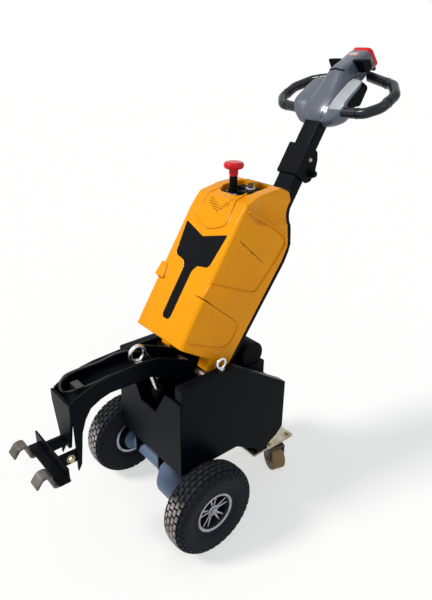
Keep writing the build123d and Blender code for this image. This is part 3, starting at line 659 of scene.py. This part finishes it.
def bolt(name, body, place, outwards, across, slot="zinc_plate", finish="bolt_steel", sides=6):
    """A bevelled head on a washer, across in metres over its corners."""
    head = bmesh.new()
    bmesh.ops.create_cone(head, cap_ends=True, segments=sides, radius1=across / 2, radius2=across / 2,
                          depth=across * 0.42)
    bevel(head, top_edges(head), across * 0.07)
    bmesh.ops.translate(head, verts=head.verts, vec=Vector((0, 0, across * 0.31)))
    washer = bmesh.ops.create_cone(head, cap_ends=True, segments=28, radius1=across * 0.66, radius2=across * 0.64,
                                   depth=across * 0.14)
    bmesh.ops.translate(head, verts=washer["verts"], vec=Vector((0, 0, across * 0.05)))
    bmesh.ops.transform(head, verts=head.verts,
                        matrix=Matrix.Translation(place) @ outwards.to_track_quat("Z", "Y").to_matrix().to_4x4())
    return settle(head, name, body, slot, finish, merge=FINE_WELD)


def bead(name, body, places, radius, slot, finish=None, closed=False):
    """A round line along places, as a mesh."""
    line = bpy.data.curves.new(name, "CURVE")
    line.dimensions = "3D"
    line.bevel_depth = radius
    line.bevel_resolution = 3
    line.resolution_u = 6
    line.use_fill_caps = not closed
    spline = line.splines.new("NURBS")
    spline.points.add(len(places) - 1)
    for point, place in zip(spline.points, places):
        point.co = (*place, 1.0)
    spline.order_u = 3
    spline.use_endpoint_u = not closed
    spline.use_cyclic_u = closed
    holder = bpy.data.objects.new(name, line)
    mesh = bpy.data.meshes.new_from_object(holder)
    bpy.data.objects.remove(holder)
    bpy.data.curves.remove(line)
    for face in mesh.polygons:
        face.use_smooth = True
    return show(mesh, name, body, slot, finish)


CASTER_X, CASTER_BOLT_SPREAD = 79.5, 30
count = 0
for sign in (1, -1):
    sideways = ACROSS * sign
    name = "_right" if sign > 0 else "_left"
    bolt("ear_bolt" + name, "hitch_arm", spot(sign * 40, -297, 342), sideways, 0.017)
    bolt("pivot_bolt_head" + name, "tiller", spot(sign * 43, 507.4, 929.1), sideways, 0.018, "black_paint",
         "motor_black")
    bolt("collar_screw" + name, "tiller", spot(sign * 37, 497, 968), sideways, 0.009)
    for x in (sign * CASTER_X - CASTER_BOLT_SPREAD, sign * CASTER_X + CASTER_BOLT_SPREAD):
        for y in (327, 407):
            bolt("caster_bolt_%02d" % count, "chassis", spot(x, y, 112), UPWARD, 0.014)
            count += 1
    for w in (28, 165, 300):
        bolt("back_screw" + name + "_%d" % w, "chassis", on_cover(sign * 84, 197 + 21 * w / 318, w), -COVER_OUT,
             0.0085, "black_paint", "motor_black", 12)
print(count, "caster bolts")

# %% [markdown]
# ## Cover
#
# The cover is one soft moulding, with no sharp corner anywhere: its bands, scoops and pads all run
# into each other. The drawing has their shape with crisp edges. A voxel remesh turns it into an
# even skin, and a few rounds of smoothing melt the corners as the mould does.

# %% Cover
COVER_VOXEL = 0.0024
COVER_ROUNDS = 5


def melted(node):
    """A node's mesh as an even skin with its corners smoothed away."""
    holder = bpy.data.objects.new(node + "_holder", meshed(welded(node), node + "_welded"))
    bpy.context.scene.collection.objects.link(holder)
    remesh = holder.modifiers.new("skin", "REMESH")
    remesh.mode = "VOXEL"
    remesh.voxel_size = COVER_VOXEL
    remesh.use_smooth_shade = True
    melt = holder.modifiers.new("melt", "SMOOTH")
    melt.factor = 0.5
    melt.iterations = COVER_ROUNDS
    bpy.context.view_layer.update()
    result = bpy.data.meshes.new_from_object(holder.evaluated_get(bpy.context.evaluated_depsgraph_get()))
    bpy.data.objects.remove(holder)
    result.name = node + "_moulded"
    return result


cover_mesh = melted("cover")
cover = show(cover_mesh, "cover_moulded", "chassis", "yellow_cover")
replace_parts(cover, "cover")
print("cover", len(cover_mesh.polygons), "faces")

# %% [markdown]
# The two slanting slots on each side are deep and narrow, so hardly any light reaches their floor.
# A dark bead on the floor of each keeps that line clear after the smoothing. The lower slot runs
# round the corner, under a stout pad. Raised beads edge the side fields and the shield above the
# panel, where the real moulding has a rib. Their places are x, u and w on the cover, and the pad's
# sizes are millimetres on it too.

# %% Slots, ribs and pads
SLOTS = (((100.6, 30, 310.7), (100.6, 87, 300.2), (100.6, 144, 289.7)),
         ((76, -0.4, 141), (92, -0.2, 141), (102, 3.6, 140.4), (104.4, 13, 139), (103.4, 32, 135.9),
          (103.2, 80, 128.3), (103.2, 152, 117)))
RIBS = (((104.3, 12, 183.2), (104.3, 158, 204), (104.3, 168, 226), (104.3, 197, 372), (104.3, 150, 385),
         (104.3, 14, 385)),
        ((104.3, 12, 20), (104.3, 138, 36), (104.3, 161, 62), (104.3, 158, 112)))
SHIELD = ((48, 33.6, 430), (53, 3.6, 398), (56, 2.2, 386), (64, -2.1, 329), (0, -2.1, 307), (-64, -2.1, 329),
          (-56, 2.2, 386), (-53, 3.6, 398), (-48, 33.6, 430))
CORNER_SHARE = 0.16
SLOT_RADIUS, RIB_RADIUS, SHIELD_RADIUS = 0.0016, 0.0024, 0.0028
PAD_SIZE, PAD_MIDDLE = (40, 20, 42), (87, 1.5, 163)
PAD_TAPER_OUT, PAD_TAPER_IN = 5.5, 13
PAD_EDGE = 4.5


def softened(points):
    """Keeps the runs between corners straight and rounds only the corners themselves."""
    result = [points[0]]
    for start, end in zip(points, points[1:]):
        for share in (CORNER_SHARE, 1 - CORNER_SHARE):
            result.append(tuple(a + (b - a) * share for a, b in zip(start, end)))
    return result + [points[-1]]


def corner_pad(name, sign):
    """A tapered block on a front corner of the cover, thick at its foot."""
    shape = cuboid(PAD_SIZE)
    for vertex in shape.verts:
        if vertex.co.z > 0:
            vertex.co.y += PAD_TAPER_OUT if vertex.co.y < 0 else 0
            vertex.co.x += PAD_TAPER_IN if vertex.co.x < 0 else 0
    bevel(shape, shape.edges[:], PAD_EDGE, 4)
    for vertex in shape.verts:
        x, u, w = Vector(PAD_MIDDLE) + vertex.co
        vertex.co = on_cover(sign * x, u, w)
    settle(shape, name, "chassis", "yellow_cover", sharp=radians(50))


for sign, side in ((1, "right"), (-1, "left")):
    for number, slot_line in enumerate(SLOTS):
        places = [on_cover(sign * x, u, w) for x, u, w in slot_line]
        bead("slot_%s_%d" % (side, number), "chassis", places, SLOT_RADIUS, "yellow_cover", "groove_shade")
    for number, rib_line in enumerate(RIBS):
        places = [on_cover(sign * x, u, w) for x, u, w in softened(rib_line)]
        bead("rib_%s_%d" % (side, number), "chassis", places, RIB_RADIUS, "yellow_cover")
    corner_pad("corner_pad_" + side, sign)
bead("shield_rib", "chassis", [on_cover(*place) for place in softened(SHIELD)], SHIELD_RADIUS,
     "yellow_cover")

# %% [markdown]
# Above the panel, small holes in a wide V let the horn sound out. Each is a short dark plug in the
# yellow skin, painted shade for the dark depth of its hole. They stand in staggered rows, and a row
# keeps only the holes near the V's middle line.

# %% Horn holes
HOLE_PITCH = 6.2
HOLE_ROWS, HOLE_STEPS = 10, 13
HOLE_LOW, ROW_RISE, HALF_BAND = 350, 6, 9
X_FIRST, X_LAST = -34, 42
HOLE_FROM, HOLE_FOOT, HOLE_TO = (-33, 388), (12, 366), (41, 394)


def horn_line(x):
    """How far up the cover the middle of the V lies at x."""
    end = HOLE_FROM if x < HOLE_FOOT[0] else HOLE_TO
    return HOLE_FOOT[1] + (end[1] - HOLE_FOOT[1]) * (x - HOLE_FOOT[0]) / (end[0] - HOLE_FOOT[0])


def horn_hole_shades():
    holes = bmesh.new()
    turn = COVER_OUT.to_track_quat("Z", "Y").to_matrix().to_4x4()
    for row in range(HOLE_ROWS):
        for step in range(HOLE_STEPS):
            x = X_FIRST + (step + (row % 2) / 2) * HOLE_PITCH
            w = HOLE_LOW + row * ROW_RISE
            if x > X_LAST or abs(w - horn_line(x) + 3) > HALF_BAND:
                continue
            face = max(0, 6 * (w - 352) / 46) - 2.5
            # each plug is a black disc of painted shade standing for the unlit inside of a hole
            bmesh.ops.create_cone(holes, cap_ends=True, segments=10, radius1=0.0016, radius2=0.0014, depth=0.0024,
                                  matrix=Matrix.Translation(on_cover(x, face + 0.6, w)) @ turn)
    return settle(holes, "horn_hole_shades", "chassis", "yellow_cover", "motor_black", merge=FINE_WELD)


print("horn holes", len(horn_hole_shades().data.polygons) // 12)

# %% [markdown]
# ## Stop button and the console
#
# The stop button is a thick red mushroom on a ribbed stem, over a black neck. Both are profiles
# spun about an upright axis. Beside it lie a key switch with its bright ring, and a small charge
# gauge in a dark frame.

# %% Stop button and console
STOP = (-18, 262)
KEY = (26, 283)
RIB_PITCH = 4


def turned(name, body, slot, centre, profile, steps=48):
    """A profile of radius and height in millimetres, spun about an upright axis."""
    shape = bmesh.new()
    chain = [shape.verts.new(spot(centre[0] + radius, centre[1], height)) for radius, height in profile]
    wire = chain + [shape.edges.new(pair) for pair in zip(chain, chain[1:])]
    bmesh.ops.spin(shape, geom=wire, cent=spot(*centre, 0), axis=UPWARD, angle=math.tau, steps=steps, use_merge=True)
    return settle(shape, name, body, slot, sharp=radians(40))


knob = [(0.01, 983.0), (8, 982.8), (14, 982.2), (17, 982.6), (21, 982.2), (24.5, 980.2), (26.6, 976.8), (27, 973.0),
        (26.4, 969.4), (24.4, 966.4), (21, 964.8), (16, 964.2), (13.2, 963.4)]
for rib in range(3):
    knob += [(radius, height - rib * RIB_PITCH) for radius, height in ((12.6, 960.5), (12.6, 958.8), (11.6, 958.4),
                                                                       (11.6, 957.0))]
knob += [(11.0, 946.0), (0.01, 946.0)]
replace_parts(turned("stop_knob", "chassis", "signal_red", STOP, knob), "stop_button")
neck = [(0.01, 947.0), (10.4, 947.0), (10.8, 946.4), (10.8, 914), (12, 912.8), (12, 906), (15, 905.4), (15, 900),
        (0.01, 900)]
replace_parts(turned("stop_neck", "chassis", slot_of_node["stop_collar"], STOP, neck), "stop_collar")
bezel = [(13, 916.8), (13, 918.4), (12, 919.4), (10.6, 919.4), (10.0, 918.4), (10.0, 916.8)]
turned("key_ring", "chassis", "polished_steel", KEY, bezel)


def block(name, slot, low, high, edge, finish=None):
    """A bevelled block between two corners, in millimetres from the axle's floor point."""
    low, high = spot(*low), spot(*high)
    shape = cuboid(high - low)
    bmesh.ops.translate(shape, verts=shape.verts, vec=(low + high) / 2)
    bevel(shape, shape.edges[:], edge)
    return settle(shape, name, "chassis", slot, finish)


moulded("gauge_window", (0.045, 0.06, 0.30), 0.2, 900, 0.0001, 0.5, 0.0, 0.5)
block("gauge_frame", "black_paint", (-20, 237, 898), (14, 252, 903.5), 0.001, "grip_rubber")
block("gauge_window", "black_paint", (-17, 239.5, 902), (2, 249.5, 904), 0.0005, "gauge_window")
block("gauge_bezel", "polished_steel", (4, 239.5, 902), (12, 249.5, 904.2), 0.0008, "pale_trim")
# A dark block across the back of the well is painted shade: it hides the well's yellow wall, which lies in shade.
block("well_shade_block", "black_paint", (-50, 302, 898), (50, 328, 909), 0.003, "motor_black")
for number, (x, y) in enumerate(((-44, 262), (46, 262), (-44, 288))):
    bolt("console_screw_%d" % number, "chassis", spot(x, y, 899), UPWARD, 0.007, "polished_steel", "polished_steel",
         16)

# %% [markdown]
# ## Tiller head
#
# The head is one smooth moulding: a hump along the middle, a broad wing on each side, and a slim neck
# that carries the thumb paddles. Cross-sections are drawn at stations along it and bridged, and a
# subdivision surface runs a fair curve through them. The top of the right wing is a paler inlay, so
# its faces take a second finish, and creases keep the seam beside the hump and the wing's rim crisp.

# %% Tiller head
# station, top of hump, half hump, seam across and height, half roof, roof height, half side, base
HEAD_STATIONS = (
    (-50, -13, 20, 28, -15, 40, -18, 44, -32), (-47, -6, 33, 40, -9, 58, -12, 60, -40),
    (-33, 3, 37, 43, -2, 77, -3, 75, -48), (-16, 9, 38, 43, 4, 90, 5.5, 84, -54),
    (-3, 12, 38, 43, 8, 94, 11, 87, -57), (12, 15, 37, 42, 9.5, 93.5, 12.5, 84, -57),
    (40, 19, 34, 40, 6, 93, 8.6, 82, -56), (72, 26, 31, 38, 1, 92, 4, 78, -55),
    (90, 30, 29, 36, -3, 89, 1.4, 72, -53), (98, 31.5, 28.5, 35, -6, 78, -3, 64, -52),
    (108, 31.5, 28, 34, -10, 55, -10, 48, -51), (120, 29, 28, 33, -14, 42, -20, 40, -53),
    (140, 23, 29, 34, -8, 38.5, -24, 38, -58), (165, 15, 31, 35, -5, 38, -28, 37.5, -61),
    (190, 8, 33.5, 36, -9, 37.5, -34, 37, -63), (201.6, 4, 34, 36.5, -10, 37.5, -36, 37, -63.5))
PALE_FROM, PALE_TO = 3, 10
PALE_PLACES = (3, 4)
SEAM_PLACES, RIM_PLACES = (3, -3), (5, 6, -5, -6)
SEAM_CREASE, RIM_CREASE, END_CREASE = 0.7, 0.35, 0.75


def head_section(top, hump, seam, valley, roof, height, side, base):
    """The right half of a section, from the middle of the top to the middle of the base."""
    return ((0, top), (hump * 0.55, top - 0.6), (hump, top - 4.5), (seam, valley), ((seam + roof) / 2, height + 0.4),
            (roof - 5, height), (roof, height - 4), (side, height - 15), (side - 3, base + 13), (side - 16, base),
            (0, base))


def head_shell():
    shape = bmesh.new()
    crease = shape.edges.layers.float.new("crease_edge")
    rings = []
    for s, *numbers in HEAD_STATIONS:
        half = head_section(*numbers)
        places = list(half) + [(-x, n) for x, n in reversed(half[1:-1])]
        rings.append([shape.verts.new(on_head(x, s, n)) for x, n in places])
    loops = [[shape.edges.new(pair) for pair in zip(ring, ring[1:] + ring[:1])] for ring in rings]
    for first, second in zip(loops, loops[1:]):
        bmesh.ops.bridge_loops(shape, edges=first + second)
    for loop in (loops[0], loops[-1]):
        bmesh.ops.contextual_create(shape, geom=loop)
    for edge in loops[-1]:
        edge[crease] = END_CREASE
    for places, first, last, sharpness in ((SEAM_PLACES, 1, PALE_TO, SEAM_CREASE),
                                           (RIM_PLACES, 2, PALE_TO - 2, RIM_CREASE)):
        for k in range(first, last + 1):
            for place in places:
                here = rings[k][place]
                for edge in here.link_edges:
                    if edge.other_vert(here) in (rings[k - 1][place], rings[k + 1][place]):
                        edge[crease] = sharpness
    shape.verts.index_update()
    pale = {frozenset(rings[i][j].index for i in (k, k + 1) for j in (across, across + 1))
            for k in range(PALE_FROM, PALE_TO) for across in PALE_PLACES}
    for face in shape.faces:
        face.material_index = int(frozenset(vertex.index for vertex in face.verts) in pale)
    piece = settle(shape, "head_shell", "tiller", "head_grey", sharp=math.pi, merge=FINE_WELD)
    piece.data.materials.append(finishes["pale_trim"])
    smooth = piece.modifiers.new("smooth", "SUBSURF")
    smooth.levels = smooth.render_levels = 3
    return piece


head = head_shell()
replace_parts(head, "tiller_head")

# %% [markdown]
# Trim on the head has to lie on that curved skin, so a ray dropped onto the finished surface finds
# each place. The speed rocker is a wavy slot with a lip behind it, and its slot is a black bead of
# painted shade. The label place near the end stays a bare plate.

# %% Trim on the head
bpy.context.view_layer.update()
head_skin = BVHTree.FromObject(head, bpy.context.evaluated_depsgraph_get())
ABOVE_HEAD = 80


def landed(x, s, lift):
    """The place on the head's skin over x and s, lifted off it by millimetres."""
    place, normal, _, _ = head_skin.ray_cast(on_head(x, s, ABOVE_HEAD), -HEAD_OUT)
    return place + normal * lift / 1000


def wave(x):
    """How far along the head the rocker's wavy slot lies at x."""
    return 99 + 1.6 * math.cos(math.pi * x / 13)


across_slot = range(-26, 27, 4)
# the slot is a black bead of painted shade in the rocker's groove; the lip is grey moulding
bead("rocker_slot_shade", "tiller", [landed(x, wave(x), 0.1) for x in across_slot], 0.0021, "grip_rubber", "motor_black")
bead("rocker_lip", "tiller", [landed(x, wave(x) + 4.2, 0.2) for x in across_slot], 0.0024, "head_grey")
SEAM = ((27, -43), (28, -30), (32, -15), (38, 0), (41, 12), (40, 40), (38.5, 72), (37, 90), (35, 104))
bead("head_seam", "tiller", [landed(x, s, 0.2) for x, s in SEAM], 0.0008, "head_grey", "motor_black")


def skin_plate(name, x_low, x_high, s_low, s_high, slot, finish, lift):
    """A thin plate bent to the head's skin."""
    shape = bmesh.new()
    bmesh.ops.create_grid(shape, x_segments=8, y_segments=8, size=0.5)
    for vertex in shape.verts:
        share_x, share_s = vertex.co.x + 0.5, vertex.co.y + 0.5
        vertex.co = landed(x_low + share_x * (x_high - x_low), s_low + share_s * (s_high - s_low), lift)
    walls = bmesh.ops.extrude_face_region(shape, geom=shape.faces[:])
    below = [part for part in walls["geom"] if isinstance(part, bmesh.types.BMVert)]
    bmesh.ops.translate(shape, verts=below, vec=-HEAD_OUT * (lift + 1) / 1000)
    return settle(shape, name, "tiller", slot, finish)


skin_plate("label_frame", -16, 16, 168, 188, "signal_red", "signal_red", 0.4)
skin_plate("label_plate", -14, 14, 170, 186, "head_grey", "pale_trim", 0.7)
tip = cuboid((0.056, 0.011, 0.013))
bevel(tip, tip.edges[:], 0.004, 3)
bmesh.ops.rotate(tip, verts=tip.verts, cent=Vector(), matrix=Matrix.Rotation(HEAD_PITCH, 3, "X"))
bmesh.ops.translate(tip, verts=tip.verts, vec=on_head(0, 206, -65))
settle(tip, "button_tip", "tiller", "grip_rubber")

# %% [markdown]
# Each hand loop is two mouldings clipped together, and the joints show as fine rings around the
# grip. A ring is a closed bead around the loop's centre line.

# %% Rings on the hand loops
LOOP_PITCH = radians(28)
LOOP_ROOT = (565, 1095)
LOOP_RADIUS = 14.2
RING_RADIUS = LOOP_RADIUS * 1.02
RING_STEPS = 16
RING_PLACES = ((128, 2.2, radians(5)), (180, 62, radians(90)), (120, 150.3, radians(161)))


def loop_ring(name, x, s, heading):
    """A ring around the loop where it runs at a heading from +X in its plane."""
    places = []
    for step in range(RING_STEPS):
        turn = math.tau * step / RING_STEPS
        out = RING_RADIUS * math.cos(turn)
        places.append(on_slope(x - out * math.sin(heading), s + out * math.cos(heading), RING_RADIUS * math.sin(turn),
                               LOOP_PITCH, LOOP_ROOT))
    bead(name, "tiller", places, 0.0009, "grip_rubber", "motor_black", closed=True)


for sign, side in ((1, "right"), (-1, "left")):
    for number, (x, s, heading) in enumerate(RING_PLACES):
        loop_ring("grip_ring_%s_%d" % (side, number), sign * x, s, heading if sign > 0 else math.pi - heading)

# %% [markdown]
# ## Floor and light
#
# The tug stands on a plain white ground, lit by a high sun from the front left, a weak one from the
# right and a plain sky. The
# camera, and gloss and glass with it, see a white surrounding, while the light on the tug itself
# comes from the dimmer sky, so black paint stays black. The floor keeps the machine's shadow.

# %% Floor and light
floor_shape = bmesh.new()
bmesh.ops.create_grid(floor_shape, x_segments=1, y_segments=1, size=14)
floor_mesh = meshed(floor_shape, "floor")
floor = bpy.data.objects.new("floor", floor_mesh)
bpy.context.scene.collection.objects.link(floor)
SHADOW_LIFT = 0.6
RAYS = ("Is Camera Ray", "Is Glossy Ray", "Is Transmission Ray")
paving = Finish("paving", base_color=(0.98, 0.98, 0.98), roughness=0.9, specular_ior_level=0.0)
looked_at = sum((paving.node("ShaderNodeLightPath", output=ray) for ray in RAYS[1:]),
                paving.node("ShaderNodeLightPath", output=RAYS[0]))
white = paving.node("ShaderNodeEmission", sockets={"Color": (1.0, 1.0, 1.0), "Strength": 1.0})
lifted = paving.tree.nodes.new("ShaderNodeMixShader")
paving.feed(lifted.inputs[0], looked_at * SHADOW_LIFT)
paving.tree.links.new(paving.shader.outputs[0], lifted.inputs[1])
paving.tree.links.new(white.socket, lifted.inputs[2])
paving.tree.links.new(lifted.outputs[0], paving.tree.nodes["Material Output"].inputs["Surface"])
floor_mesh.materials.append(paving.material)

SKY_STRENGTH = 0.35
world = bpy.data.worlds.new("sky")
bpy.context.scene.world = world
world.use_nodes = True
links = world.node_tree.links
sky = world.node_tree.nodes["Background"]
sky.inputs["Color"].default_value = (0.93, 0.96, 1.0, 1.0)
sky.inputs["Strength"].default_value = SKY_STRENGTH
seen = world.node_tree.nodes.new("ShaderNodeBackground")
seen.inputs["Color"].default_value = (1.0, 1.0, 1.0, 1.0)
seen.inputs["Strength"].default_value = 1.0
ray = world.node_tree.nodes.new("ShaderNodeLightPath")
any_ray = ray.outputs[RAYS[0]]
for kind in RAYS[1:]:
    larger = world.node_tree.nodes.new("ShaderNodeMath")
    larger.operation = "MAXIMUM"
    links.new(any_ray, larger.inputs[0])
    links.new(ray.outputs[kind], larger.inputs[1])
    any_ray = larger.outputs[0]
choice = world.node_tree.nodes.new("ShaderNodeMixShader")
links.new(any_ray, choice.inputs[0])
links.new(sky.outputs[0], choice.inputs[1])
links.new(seen.outputs[0], choice.inputs[2])
links.new(choice.outputs[0], world.node_tree.nodes["World Output"].inputs["Surface"])


def lamp(name, energy, place, size, colour):
    """A sun that shines from a place towards the origin."""
    light = bpy.data.lights.new(name, "SUN")
    light.energy = energy
    light.color = colour
    light.angle = size
    holder = bpy.data.objects.new(name, light)
    bpy.context.scene.collection.objects.link(holder)
    holder.location = place
    holder.rotation_mode = "QUATERNION"
    holder.rotation_quaternion = Vector(place).to_track_quat("Z", "Y")


lamp("sun", 2.75, (-1.3, -2.6, 2.8), radians(14), (1.0, 0.975, 0.94))
lamp("fill", 0.4, (2.4, -0.5, 2.0), radians(20), (0.95, 0.98, 1.0))

# %% Finish
bpy.context.scene.view_settings.view_transform = "Standard"
